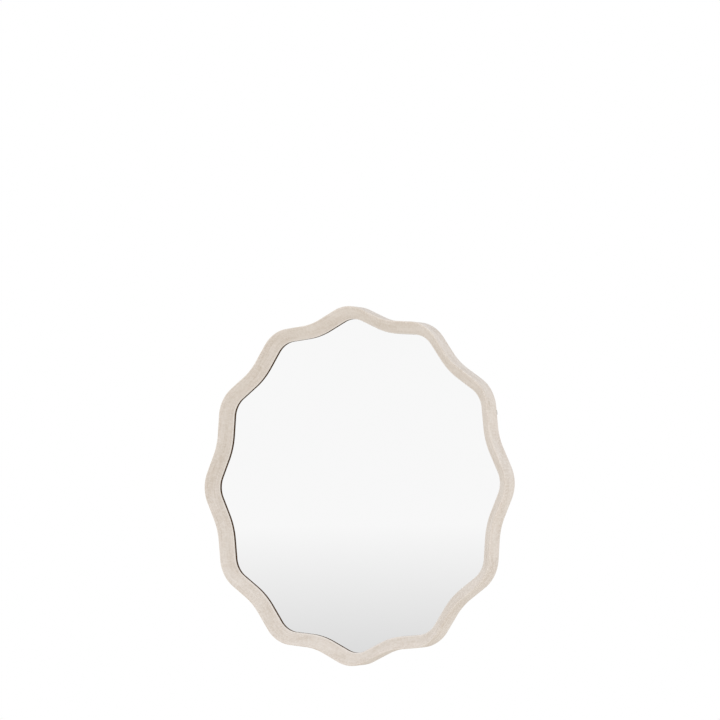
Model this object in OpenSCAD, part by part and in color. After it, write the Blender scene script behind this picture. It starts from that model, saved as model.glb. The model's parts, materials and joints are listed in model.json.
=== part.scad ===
// Wavy round wall mirror: a reverse-bevel timber ring of twelve doweled segments round a silvered pane.
// All sizes are in millimetres. The wall is the plane y = 0, the front faces -Y and +Z is up.
// Segments, clips and their screws are numbered as the hours of a clock, seen from the front.

/* [Outline] */
// Diameter over the tips of two opposite lobes
outer_d = 914.4; // [840:0.1:1000]
// Depth of the wave, from a lobe's tip in to the bottom of a valley
wave_depth = 25; // [20:0.5:30]
// Radius of the outline round a lobe
lobe_r = 94; // [86:1:100]
// Length of the straight flank between a lobe and a valley
flank_l = 50; // [40:1:60]

/* [Frame section] */
// Width of the face, from the outer wall in to the sight edge
face_w = 31.8; // [30:0.1:36]
// Depth of the frame from its front to its back
frame_depth = 46.6; // [42:0.1:52]
// Width of the flat land along the front of the ridge
land_w = 2.6; // [2.3:0.1:5]
// Radius of the ridge's outer edge
ridge_r = 1.4; // [0.8:0.1:1.6]
// Radius of the edge where the land meets the face
land_edge_r = 1.2; // [0.5:0.1:1.5]
// Radius of the sight edge and of the rebate's edge at the back
sight_edge_r = 0.6; // [0.3:0.1:1]
// Radius of the outer edge at the back
back_edge_r = 1.2; // [0.5:0.1:2]
// Height of the upright lip between the face and the glass
lip_h = 3.5; // [2.5:0.1:4.5]
// Width of the ledge behind the lip, which the glass lies on
rebate_w = 10; // [8:0.5:11]

/* [Corner joints] */
// Diameter of a dowel
dowel_d = 8; // [6:1:9]
// Length of a dowel
dowel_l = 40; // [30:1:50]
// Distance of the dowels' axes from the outer wall
dowel_inset = 9.5; // [8.5:0.5:11]
// Distance of the rear dowel's axis from the back of the frame
dowel_rear = 10; // [8:0.5:12]
// Distance between the axes of a joint's two dowels
dowel_pitch = 16; // [13:0.5:18]
// Depth left at the bottom of a dowel hole for glue
glue_room = 1; // [0.5:0.1:2]

/* [Glass and backing] */
// Thickness of the mirror glass
glass_t = 4; // [3:1:5]
// Thickness of the foam sheet behind the glass
foam_t = 1; // [0.5:0.1:1.5]
// Thickness of the backing board
board_t = 3; // [2.5:0.1:4]
// Gap between the edge of the glass and the rebate, which the packers fill
packer_t = 1.5; // [1:0.1:2.5]
// Length of a glass packer
packer_l = 25; // [15:1:35]
// Gap between the edge of the backing board and the rebate
board_gap = 0.8; // [0.5:0.1:2]
// Distance that the backing board lies sunk below the back of the frame
board_recess = 7.4; // [6.5:0.1:8.5]

/* [Retaining clips] */
// Width of a clip's strip
clip_w = 14; // [10:1:18]
// Thickness of a clip's steel
clip_t = 1; // [0.8:0.1:1.5]
// Length of the clip's foot, from its end to the step
clip_foot_l = 17; // [15:0.5:18]
// Length of the toe that presses on the board
clip_toe_l = 10; // [8:0.5:14]
// Inner radius of a clip's two bends
clip_bend_r = 0.6; // [0.3:0.1:1]
// Radius of a clip's four corners
clip_corner_r = 2.5; // [1:0.5:4]
// Diameter of a clip screw's shank
clip_screw_d = 3.5; // [3:0.1:4]
// Length of a clip screw below its head
clip_screw_l = 13; // [10:1:16]

/* [Hangers] */
// Width of the hanger strap
strap_w = 11; // [9:0.5:11.5]
// Thickness of the strap's steel
strap_t = 0.9; // [0.7:0.1:1]
// Length of the strap below the ring's pivot
strap_l = 44; // [41:1:50]
// Distance from the pivot back to where the strap's two leaves meet
strap_merge = 6; // [5:0.5:8]
// Distance from the pivot to the upper hanger screw
hanger_screw_top = 24; // [23:0.5:26]
// Distance between a hanger's two screws
hanger_screw_pitch = 14; // [12:0.5:15]
// Diameter of a hanger screw's shank
hanger_screw_d = 4; // [3.5:0.1:4.5]
// Length of a hanger screw below its head
hanger_screw_l = 18; // [14:1:22]
// Diameter of the ring's wire
wire_d = 3; // [2.5:0.1:3.2]
// Width inside the ring
ring_inner_w = 14; // [14:0.5:15]
// Height inside the ring, from its bar to the top of its bow
ring_inner_h = 13.5; // [13:0.5:14]
// Height of the pivot above the middle of the flank
pivot_rise = 16; // [10:1:18]

/* [Wall bumpers] */
// Diameter of a bumper
bumper_d = 16; // [10:1:18]
// Height of a bumper, which holds the frame clear of the wall
bumper_h = 6; // [5.6:0.1:8]

/* [Fits] */
// Radial clearance of a dowel or a screw in its hole in the timber
timber_fit = 0.05; // [0.02:0.01:0.1]
// Radial clearance of a screw in a steel clip or strap
steel_fit = 0.25; // [0.1:0.05:0.4]
// Radial clearance of the ring's bar in the fold of its strap
pivot_fit = 0.05; // [0.02:0.01:0.1]
// Least gap between the ring at rest and the strap that it leans on
ring_rest_gap = 0.3; // [0.2:0.05:0.6]
// Gap between a clip's step and the rebate
clip_gap = 1; // [0.8:0.1:1.5]

/* [Hidden] */
// One segment for each lobe, numbered as a clock's hours
lobes = 12;
pitch = 360 / lobes;
half_pitch = pitch / 2;
tip_r = outer_d / 2;
valley_base_r = tip_r - wave_depth;

// The outline is a lobe arc, a straight flank and a valley arc, each tangent to the next.
// The lobe arc's centre lies inside the outline and the valley arc's centre outside it.
lobe_centre = tip_r - lobe_r;
axial_lobe_centre = lobe_centre * cos(half_pitch);
valley_r = micron((pow(lobe_r, 2) + pow(flank_l, 2) - pow(lobe_centre, 2) - pow(valley_base_r, 2)
    + 2 * axial_lobe_centre * valley_base_r) / (2 * (valley_base_r - axial_lobe_centre - lobe_r)));
valley_centre = valley_base_r + valley_r;
centre_to_centre = [valley_centre * cos(half_pitch) - lobe_centre, valley_centre * sin(half_pitch)];
// Turn of the outline from a lobe's tip to its flank, in degrees
lobe_turn = atan2(centre_to_centre[1], centre_to_centre[0])
    - acos((lobe_r + valley_r) / norm(centre_to_centre));
// Turn of the outline from a flank to the bottom of the valley
valley_turn = lobe_turn - half_pitch;
flank_normal = [cos(lobe_turn), sin(lobe_turn)];
flank_start = [lobe_centre, 0] + lobe_r * flank_normal;
flank_middle = flank_start + flank_l / 2 * [-flank_normal[1], flank_normal[0]];

// Heights above the wall, from the back of the frame to its front. The board, the foam and the glass lie
// one on another up to the ledge, the lip stands on the ledge, and the face rises from it to the front.
frame_back = bumper_h;
board_back = frame_back + board_recess;
foam_back = board_back + board_t;
glass_back = foam_back + foam_t;
glass_front = glass_back + glass_t;
sight_edge = glass_front + lip_h;
frame_front = frame_back + frame_depth;

// Distances in from the outer wall
rebate_in = face_w - rebate_w;
glass_in = rebate_in + packer_t;
board_in = rebate_in + board_gap;
band_middle = rebate_in / 2;
clip_step_in = rebate_in + clip_gap;
clip_foot_in = clip_step_in - clip_foot_l;
clip_screw_in = (clip_foot_in + rebate_in) / 2;

// Screw heads
head_ratio = 1.9;
head_h = 2;
screw_tip = 3;
pilot_room = 1;

// Ring and strap. The two leaves lie on each other up to strap_merge, where the outer one rises to the fold.
wire_r = wire_d / 2;
fold_in_r = wire_r + pivot_fit;
pivot_h = strap_t + fold_in_r;
rise_angle = micron(2 * atan(fold_in_r / strap_merge));
bow_r = (ring_inner_w + wire_d) / 2;
corner_r = 2.5;
bow_centre = ring_inner_h + wire_d - bow_r;
ring_reach = bow_centre + bow_r;
ring_rest_angle = asin((2 * strap_t + wire_r + ring_rest_gap - pivot_h) / ring_reach);

// Turn by which a sweep runs past the plane that trims it, and the length by which what trims or is trimmed does
trim_turn = 0.5;
trim_room = 1;

// Facets of a full turn on the large arcs and on small round parts, and the turn of one facet on a rounded edge
arc_facets = 240;
round_facets = 32;
edge_turn = 22.5;

// Which flanks carry what, each as [hour, side]. Side 1 lies anticlockwise of the lobe.
packer_flanks = [[1, 1], [4, 1], [5, -1], [7, 1], [8, -1], [11, -1]];
bumper_flanks = [[1, -1], [5, 1], [7, -1], [11, 1]];
bumper_names = ["top_right", "bottom_right", "bottom_left", "top_left"];
hanger_hour = 2;

function two_digits(hour) = str(hour < 10 ? "0" : "", hour);
function segment_name(hour) = str("frame_segment_", two_digits(hour));
function clip_name(hour) = str("retaining_clip_", two_digits(hour));
function bumper_name(i) = str("wall_bumper_", bumper_names[i]);

function micron(x) = round(1000 * x) / 1000;

// Angle of a clock hour, anticlockwise from +X
function hour_angle(hour) = 90 - pitch * hour;

function arc_points(centre, r, from, to, steps) =
    [for (i = [0:steps]) centre + r * [cos(from + (to - from) * i / steps), sin(from + (to - from) * i / steps)]];

// Arc of radius r that rounds a corner and touches both of its sides
function rounded_corner(before, corner, after, r) =
    let (
        back = (before - corner) / norm(before - corner),
        on = (after - corner) / norm(after - corner),
        half = acos(back * on) / 2,
        centre = corner + r / sin(half) * (back + on) / norm(back + on),
        spoke = corner + r / tan(half) * back - centre,
        from = atan2(spoke[1], spoke[0]),
        turn = sign(cross(on, back)) * (180 - 2 * half)
    ) arc_points(centre, r, from, from + turn, max(1, round(abs(turn) / edge_turn)));

// Outline through corners, each given as [x, y, radius of its rounding]
function rounded_outline(corners) =
    let (
        count = len(corners),
        p = [for (c = corners) [c[0], c[1]]]
    ) [
        for (i = [0:count - 1])
            each corners[i][2] == 0
                ? [p[i]]
                : rounded_corner(p[(i + count - 1) % count], p[i], p[(i + 1) % count], corners[i][2])
    ];

// Section of the frame as [distance in from the outer wall, height above the wall], to a thousandth,
// so that its stretches round the lobe, along the flank and round the valley meet exactly
section = [
    for (p = rounded_outline([
        [0, frame_front, ridge_r],
        [land_w, frame_front, land_edge_r],
        [face_w, sight_edge, sight_edge_r],
        [face_w, glass_front, 0],
        [rebate_in, glass_front, 0],
        [rebate_in, frame_back, sight_edge_r],
        [0, frame_back, back_edge_r]
    ]))
        [micron(p[0]), micron(p[1])]
];

// The whole outline, moved in from the outer wall by a distance
function lobe_outline(inward, steps) = concat(
    arc_points(valley_centre * [cos(half_pitch), -sin(half_pitch)], valley_r + inward,
        180 - half_pitch, 180 - lobe_turn, steps),
    arc_points([lobe_centre, 0], lobe_r - inward, -lobe_turn, lobe_turn, 3 * steps),
    arc_points(valley_centre * [cos(half_pitch), sin(half_pitch)], valley_r + inward,
        180 + lobe_turn, 180 + half_pitch, steps)
);
function turned(p, angle) = [p[0] * cos(angle) - p[1] * sin(angle), p[0] * sin(angle) + p[1] * cos(angle)];
function wavy_outline(inward, steps) =
    [for (i = [0:lobes - 1]) each [for (p = lobe_outline(inward, steps)) turned(p, i * pitch)]];

// Stands a shape that was drawn flat, with its height above the wall along z, upright on the wall
module on_wall() {
    rotate([90, 0, 0])
        children();
}

// Turns a lobe drawn on the x axis to its clock hour
module at_hour(hour) {
    rotate([0, 0, hour_angle(hour)])
        children();
}

// Places children at the middle of a flank: x points out of the frame and y along the flank
module on_flank(flank, inward) {
    at_hour(flank[0])
        translate([flank_middle[0], flank[1] * flank_middle[1], 0])
            rotate([0, 0, flank[1] * lobe_turn])
                translate([-inward, 0, 0])
                    children();
}

// Frame section swept about the origin with its outer wall at radius r. The rest of it lies nearer the
// axis where toward is -1, as round a lobe, and further out where it is 1, as round a valley.
module section_sweep(r, toward, angle) {
    rotate_extrude(angle = angle, $fn = arc_facets)
        polygon([for (p = section) [r + toward * p[0], p[1]]]);
}

// Keeps what lies between the plane of a lobe's tip, at angle 0, and a joint's plane, half a pitch below it
module trim_to_half_pitch() {
    block = [2 * tip_r, tip_r, frame_front + 2 * trim_room];
    difference() {
        children();
        translate([0, 0, -trim_room])
            cube(block);
        rotate([0, 0, -half_pitch])
            translate([0, -block[1], -trim_room])
                cube(block);
    }
}

// Frame section carried from a lobe's tip along one flank to the bottom of the valley
module half_band() {
    trim_to_half_pitch()
        translate([lobe_centre, 0, 0])
            rotate([0, 0, -lobe_turn]) {
                section_sweep(lobe_r, -1, lobe_turn + trim_turn);
                rotate([90, 0, 0])
                    linear_extrude(flank_l)
                        polygon([for (p = section) [lobe_r - p[0], p[1]]]);
                translate([lobe_r + valley_r, -flank_l, 0])
                    rotate([0, 0, 180])
                        section_sweep(valley_r, 1, valley_turn + trim_turn);
            }
}

module lobe_band() {
    half_band();
    mirror([0, 1, 0])
        half_band();
}

// Dowels, or their holes, across the joint at angle 0
module joint_pair(r, length) {
    for (height = [frame_back + dowel_rear, frame_back + dowel_rear + dowel_pitch])
        translate([valley_base_r - dowel_inset, length / 2, height])
            rotate([90, 0, 0])
                cylinder(r = r, h = length, $fn = round_facets);
}

// Pan-head wood screw: the head stands on z = 0 and the shank runs down
module wood_screw(d, length) {
    r = d / 2;
    head_r = r * head_ratio;
    rotate_extrude($fn = round_facets)
        polygon([
            [0, -length],
            [r, -length + screw_tip],
            [r, 0],
            [head_r, 0],
            [head_r, head_h * 0.45],
            [head_r * 0.82, head_h * 0.8],
            [head_r * 0.5, head_h],
            [0, head_h]
        ]);
}

// Places children on a clip's screw, with z out of the back of the frame
module at_clip_screw(hour) {
    at_hour(hour)
        translate([tip_r - clip_screw_in, 0, frame_back])
            mirror([0, 0, 1])
                children();
}

// Right hanger's frame: the origin is under the pivot, y runs up the strap and z out of the back of the frame
module at_hanger() {
    on_flank([hanger_hour, -1], band_middle)
        translate([0, pivot_rise, frame_back])
            rotate([0, 180, 0])
                children();
}

// Right-hand children and their mirror image on the left
module on_both_sides() {
    children();
    mirror([1, 0, 0])
        children();
}

module hanger_screw_places() {
    for (drop = [hanger_screw_top, hanger_screw_top + hanger_screw_pitch])
        translate([0, -drop, 0])
            children();
}

module pilot_hole(d, length) {
    translate([0, 0, -length - pilot_room])
        cylinder(d = d + 2 * timber_fit, h = length + 2 * pilot_room, $fn = round_facets);
}

module frame_segment(hour) {
    color("#d9cfc3")
        on_wall()
            difference() {
                at_hour(hour)
                    lobe_band();
                for (side = [-1, 1])
                    at_hour(hour)
                        rotate([0, 0, side * half_pitch])
                            joint_pair(dowel_d / 2 + timber_fit, dowel_l + 2 * glue_room);
                at_clip_screw(hour)
                    pilot_hole(clip_screw_d, clip_screw_l - clip_t);
                if (hour == hanger_hour)
                    at_hanger()
                        hanger_screw_places()
                            pilot_hole(hanger_screw_d, hanger_screw_l - 2 * strap_t);
                if (hour == lobes - hanger_hour)
                    mirror([1, 0, 0])
                        at_hanger()
                            hanger_screw_places()
                                pilot_hole(hanger_screw_d, hanger_screw_l - 2 * strap_t);
            }
}

module joint_dowels() {
    color("#c9ab7c")
        on_wall()
            for (hour = [1:lobes])
                at_hour(hour)
                    rotate([0, 0, half_pitch])
                        joint_pair(dowel_d / 2, dowel_l);
}

// Flat sheet of the wavy outline between two heights above the wall
module wavy_sheet(inward, from, to) {
    on_wall()
        translate([0, 0, from])
            linear_extrude(to - from)
                polygon(wavy_outline(inward, 2));
}

module mirror_glass() {
    color("#eef1f1")
        wavy_sheet(glass_in, glass_back, glass_front);
}

module foam_sheet() {
    color("#e9e9e4")
        wavy_sheet(glass_in, foam_back, glass_back);
}

module backing_board() {
    color("#8a6a4a")
        wavy_sheet(board_in, board_back, foam_back);
}

module glass_packers() {
    color("#2b2b2b")
        on_wall()
            for (flank = packer_flanks)
                on_flank(flank, glass_in)
                    translate([0, -packer_l / 2, glass_back])
                        cube([packer_t, packer_l, glass_t]);
}

// Stepped strip that holds the board down, from the end of its foot at x = 0 to the end of its toe.
// The back of the frame is at height 0 and the board at the height of the step.
module clip_strip() {
    step = board_back - frame_back;
    riser = clip_foot_l;
    toe_end = riser + clip_t + clip_toe_l;
    outer_bend_r = clip_bend_r + clip_t;
    half_w = clip_w / 2;
    intersection() {
        translate([0, half_w, 0])
            rotate([90, 0, 0])
                linear_extrude(clip_w)
                    polygon(rounded_outline([
                        [-trim_room, -clip_t, 0],
                        [riser + clip_t, -clip_t, outer_bend_r],
                        [riser + clip_t, step - clip_t, clip_bend_r],
                        [toe_end + trim_room, step - clip_t, 0],
                        [toe_end + trim_room, step, 0],
                        [riser, step, outer_bend_r],
                        [riser, 0, clip_bend_r],
                        [-trim_room, 0, 0]
                    ]));
        translate([0, 0, -clip_t - trim_room])
            linear_extrude(step + clip_t + 2 * trim_room)
                polygon(rounded_outline([
                    [0, -half_w, clip_corner_r],
                    [toe_end, -half_w, clip_corner_r],
                    [toe_end, half_w, clip_corner_r],
                    [0, half_w, clip_corner_r]
                ]));
    }
}

module retaining_clip(hour) {
    color("#b9bcbf")
        on_wall()
            difference() {
                at_hour(hour)
                    translate([tip_r - clip_foot_in, 0, frame_back])
                        mirror([1, 0, 0])
                            clip_strip();
                at_clip_screw(hour)
                    translate([0, 0, -clip_t])
                        cylinder(d = clip_screw_d + 2 * steel_fit, h = 3 * clip_t, $fn = round_facets);
            }
}

module clip_screws() {
    color("#8d9094")
        on_wall()
            for (hour = [1:lobes])
                at_clip_screw(hour)
                    translate([0, 0, clip_t])
                        wood_screw(clip_screw_d, clip_screw_l);
}

// Plan of a strap leaf with a rounded end, from a distance below the pivot down
module leaf_plan(from) {
    end_r = strap_w / 2;
    translate([-end_r, -strap_l + end_r])
        square([strap_w, strap_l - end_r - from]);
    translate([0, -strap_l + end_r])
        circle(r = end_r, $fn = round_facets);
}

// Strap folded from one strip: two leaves, and the fold round the ring's bar between them. The outer leaf's
// rise runs on into both flat leaves by the steel's thickness, and its flat part begins within the rise.
module hanger_strap() {
    mitre = strap_t * tan(rise_angle / 2);
    rise_l = strap_merge + strap_t;
    difference() {
        union() {
            linear_extrude(strap_t)
                leaf_plan(0);
            translate([0, 0, strap_t])
                linear_extrude(strap_t)
                    leaf_plan(strap_merge + mitre / 2);
            translate([0, 0, pivot_h])
                rotate([90, 0, 90]) {
                    rotate([0, 0, -90])
                        rotate_extrude(angle = 180 + rise_angle, $fn = 2 * round_facets)
                            translate([fold_in_r, -strap_w / 2])
                                square([strap_t, strap_w]);
                    rotate([0, 0, rise_angle])
                        translate([-rise_l, fold_in_r, -strap_w / 2])
                            cube([rise_l, strap_t, strap_w]);
                }
        }
        hanger_screw_places()
            translate([0, 0, -strap_t])
                cylinder(d = hanger_screw_d + 2 * steel_fit, h = 4 * strap_t, $fn = round_facets);
    }
}

module wire(length) {
    cylinder(r = wire_r, h = length, $fn = round_facets);
}

module wire_bend(r, angle) {
    rotate_extrude(angle = angle, $fn = 2 * round_facets)
        translate([r, 0])
            circle(r = wire_r, $fn = round_facets);
}

// D-shaped wire ring: its bar lies on the x axis and its bow hangs along -y
module hanging_ring() {
    bar_half = bow_r - corner_r;
    translate([-bar_half, 0, 0])
        rotate([0, 90, 0])
            wire(2 * bar_half);
    for (side = [-1, 1])
        mirror([side < 0 ? 1 : 0, 0, 0]) {
            translate([bar_half, -corner_r, 0])
                wire_bend(corner_r, 90);
            translate([bow_r, -corner_r, 0])
                rotate([90, 0, 0])
                    wire(bow_centre - corner_r);
        }
    translate([0, -bow_centre, 0])
        rotate([0, 0, 180])
            wire_bend(bow_r, 180);
}

// Ring leaning on its strap, as it hangs when the mirror is off the wall
module ring_at_rest() {
    translate([0, 0, pivot_h])
        rotate([-ring_rest_angle, 0, 0])
            hanging_ring();
}

module hanger_strap_right() {
    color("#b9bcbf")
        on_wall()
            at_hanger()
                hanger_strap();
}

module hanger_strap_left() {
    mirror([1, 0, 0])
        hanger_strap_right();
}

module hanging_ring_right() {
    color("#9fa3a7")
        on_wall()
            at_hanger()
                ring_at_rest();
}

module hanging_ring_left() {
    mirror([1, 0, 0])
        hanging_ring_right();
}

module hanger_screws() {
    color("#8d9094")
        on_wall()
            on_both_sides()
                at_hanger()
                    hanger_screw_places()
                        translate([0, 0, 2 * strap_t])
                            wood_screw(hanger_screw_d, hanger_screw_l);
}

// Soft bumper with a rounded rim, whose flat end touches the wall
module wall_bumper(flank) {
    rim = 1.2;
    r = bumper_d / 2;
    color("#3a3a3a")
        on_wall()
            on_flank(flank, band_middle)
                rotate_extrude($fn = 2 * round_facets)
                    polygon(rounded_outline([
                        [0, bumper_h, 0],
                        [0, 0, 0],
                        [r, 0, rim],
                        [r, bumper_h, 0]
                    ]));
}

for (hour = [1:lobes]) {
    frame_segment(hour);
    retaining_clip(hour);
}
joint_dowels();
mirror_glass();
glass_packers();
foam_sheet();
backing_board();
clip_screws();
hanger_strap_left();
hanger_strap_right();
hanger_screws();
hanging_ring_left();
hanging_ring_right();
for (i = [0:len(bumper_names) - 1]) {
    wall_bumper(bumper_flanks[i]);
}
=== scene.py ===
"""Wavy round wall mirror: a pale oak ring with a reverse bevel round silvered glass, and its hanging hardware."""

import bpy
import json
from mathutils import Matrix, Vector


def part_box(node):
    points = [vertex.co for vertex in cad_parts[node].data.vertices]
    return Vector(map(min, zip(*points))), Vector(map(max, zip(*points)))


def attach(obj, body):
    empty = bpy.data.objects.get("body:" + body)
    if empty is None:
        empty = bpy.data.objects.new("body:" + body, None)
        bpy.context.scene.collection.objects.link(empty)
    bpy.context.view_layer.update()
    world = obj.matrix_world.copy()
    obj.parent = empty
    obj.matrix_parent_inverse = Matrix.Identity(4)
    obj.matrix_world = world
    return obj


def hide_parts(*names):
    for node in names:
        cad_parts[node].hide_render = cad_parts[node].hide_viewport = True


bl_info = {
    "name": "Wavy Round Mirror",
    "version": (1, 0, 0),
    "blender": (4, 5, 0),
    "location": "3D View > Sidebar > Mirror",
    "description": "Builds a round wall mirror in a wavy oak frame, piece by piece",
    "category": "Add Mesh",
}

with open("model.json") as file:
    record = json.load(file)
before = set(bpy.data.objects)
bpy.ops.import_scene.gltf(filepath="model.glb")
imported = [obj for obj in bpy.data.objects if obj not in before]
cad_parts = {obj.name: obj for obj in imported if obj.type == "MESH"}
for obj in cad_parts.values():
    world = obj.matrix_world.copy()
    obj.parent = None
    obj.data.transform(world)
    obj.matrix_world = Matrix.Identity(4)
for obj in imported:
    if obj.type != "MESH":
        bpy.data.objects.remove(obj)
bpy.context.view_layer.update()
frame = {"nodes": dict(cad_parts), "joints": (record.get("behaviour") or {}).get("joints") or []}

import json
import math

import bmesh
import bpy
from mathutils import Matrix, Vector

MM = 0.001
# Points that lie nearer than this are one
WELD = 0.01 * MM
ORIGIN = Vector((0, 0, 0))
# The mirror faces -Y. A turn to the left is anticlockwise as seen from the front.
LEFT = Vector((0, -1, 0))
RIGHT = Vector((0, 1, 0))
SEGMENTS = sorted(name for name in frame["nodes"] if name.startswith("frame_segment_"))
CLIPS = sorted(name for name in frame["nodes"] if name.startswith("retaining_clip_"))
BUMPERS = sorted(name for name in frame["nodes"] if name.startswith("wall_bumper_"))
RING_JOINTS = {joint["child"]: joint for joint in frame["joints"]}
TOP_SEGMENT = SEGMENTS[-1]
PITCH = 2 * math.pi / len(SEGMENTS)
HALF_PITCH = PITCH / 2
FRAME_FRONT, FRAME_BACK = (corner.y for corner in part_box(TOP_SEGMENT))
GLASS_FRONT, GLASS_BACK = (corner.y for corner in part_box("mirror_glass"))
BOARD_FRONT, BOARD_BACK = (corner.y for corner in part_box("backing_board"))
# Steps of a sweep round a valley, along a flank and over a lobe
VALLEY_STEPS, FLANK_STEPS, LOBE_STEPS = 8, 3, 36
# A segment's materials: washed oak, painted shade in the rebate and raw oak
WASHED, PAINTED_SHADE, RAW = range(3)
# Radius of a screw's head, in radii of its shank, and the head's profile from rim to middle as shares of its size
HEAD_RATIO = 1.9
PAN_HEAD = ((1, 0), (1, 0.45), (0.93, 0.66), (0.8, 0.82), (0.6, 0.94), (0.3, 0.99), (0, 1))
# What a reflection shows, as (height of the ray, brightness): the ground is greyest 3.5 degrees below the horizon,
# and paler again near by
HORIZON, GREYEST, NEAR_BY = (-0.0088, 1.0), (-0.0603, 0.767), (-0.6, 0.95)
WHITE = (1, 1, 1, 1)


def linear(code):
    """Linear RGBA of an sRGB colour written as #rrggbb."""
    channels = [int(code[i : i + 2], 16) / 255 for i in (1, 3, 5)]
    return [c / 12.92 if c <= 0.04045 else ((c + 0.055) / 1.055) ** 2.4 for c in channels] + [1.0]


def length(name, description, default):
    """A size in metres."""
    return bpy.props.FloatProperty(name=name, description=description, default=default, unit="LENGTH", precision=5)


def angle(name, description, degrees):
    """A turn, written here in degrees."""
    return bpy.props.FloatProperty(name=name, description=description, default=math.radians(degrees), subtype="ANGLE")


def colour(name, description, default):
    """A colour, written as sRGB hex or as linear red, green and blue."""
    rgba = linear(default) if isinstance(default, str) else (*default, 1)
    return bpy.props.FloatVectorProperty(
        name=name, description=description, default=rgba, size=4, min=0, max=1, subtype="COLOR"
    )


class MirrorRingSizes(bpy.types.PropertyGroup):
    """Sizes of the wavy oak ring"""

    outer_diameter: length("Outer diameter", "Across the tips of two opposite lobes", 0.9144)
    wave_depth: length("Wave depth", "From a lobe's tip in to the bottom of a valley", 0.025)
    lobe_radius: length("Lobe radius", "Radius of the outline round a lobe", 0.094)
    flank_length: length("Flank length", "Straight stretch between a lobe and a valley", 0.05)
    face_width: length("Face width", "From the outer wall in to the sight edge", 0.0318)
    face_drop: length("Face drop", "How far the face falls back from the ridge to the sight edge", 0.0277)
    land_width: length("Land width", "Flat land along the front of the ridge", 0.0026)
    rebate_width: length("Rebate width", "Ledge behind the lip, which the glass lies on", 0.01)
    ridge_radius: length("Ridge radius", "Rounding of the ridge's outer edge", 0.0014)
    land_radius: length("Land rounding", "Rounding where the land meets the bevel", 0.0012)
    sight_radius: length("Sight edge rounding", "Rounding where the bevel meets the lip", 0.0006)
    back_radius: length("Back rounding", "Rounding of the outer edge at the back", 0.0012)


class MirrorFittingSizes(bpy.types.PropertyGroup):
    """Sizes of the glass, the board, the clips, the hangers, the screws and the bumpers"""

    glass_inset: length("Glass inset", "From the outer wall in to the edge of the glass", 0.0233)
    glass_arris: length("Glass arris", "Ground edge of the glass", 0.0004)
    board_inset: length("Board inset", "From the outer wall in to the edge of the board", 0.0226)
    board_arris: length("Board arris", "Broken edge of the board", 0.0003)
    clip_steel: length("Clip steel", "Thickness of a clip", 0.001)
    clip_step_inset: length("Clip step inset", "From the outer wall in to a clip's riser", 0.0228)
    clip_bend: length("Clip bend", "Inner radius of a clip's two bends", 0.0006)
    clip_corner: length("Clip corner", "Radius of a clip's four corners", 0.0025)
    clip_edge: length("Clip edge", "Rounding along a clip's edges", 0.00012)
    clip_screw_diameter: length("Clip screw diameter", "Across a clip screw's shank", 0.0035)
    clip_screw_length: length("Clip screw length", "Of a clip screw below its head", 0.013)
    clip_screw_recess: length("Clip screw recess", "Across the cross in a clip screw's head", 0.0034)
    screw_head: length("Screw head", "Height of a screw's head", 0.002)
    screw_tip: length("Screw tip", "Length of a screw's point", 0.003)
    strap_width: length("Strap width", "Of a hanger strap", 0.011)
    strap_steel: length("Strap steel", "Thickness of a hanger strap", 0.0009)
    strap_length: length("Strap length", "From the ring's bar to the strap's end", 0.044)
    strap_merge: length("Strap merge", "From the ring's bar to where the two leaves meet", 0.006)
    hanger_screw_top: length("Upper hanger screw", "From the ring's bar to the upper screw", 0.024)
    hanger_screw_pitch: length("Hanger screw pitch", "Between a hanger's two screws", 0.014)
    hanger_screw_diameter: length("Hanger screw diameter", "Across a hanger screw's shank", 0.004)
    hanger_screw_length: length("Hanger screw length", "Of a hanger screw below its head", 0.018)
    hanger_screw_recess: length("Hanger screw recess", "Across the cross in a hanger screw's head", 0.004)
    wire_diameter: length("Wire diameter", "Of a hanging ring's wire", 0.003)
    ring_inner_width: length("Ring inner width", "Inside a hanging ring", 0.014)
    ring_inner_height: length("Ring inner height", "From a ring's bar to the top of its bow", 0.0135)
    ring_corner: length("Ring corner", "Radius of a ring's two corners", 0.0025)
    pivot_fit: length("Pivot clearance", "Round a ring's bar in the fold of its strap", 0.00005)
    ring_rest_gap: length("Ring rest gap", "Between a ring at rest and its strap", 0.0003)
    bumper_rounding: length("Bumper rounding", "Rounding of a bumper's rim at the wall", 0.0012)


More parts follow.
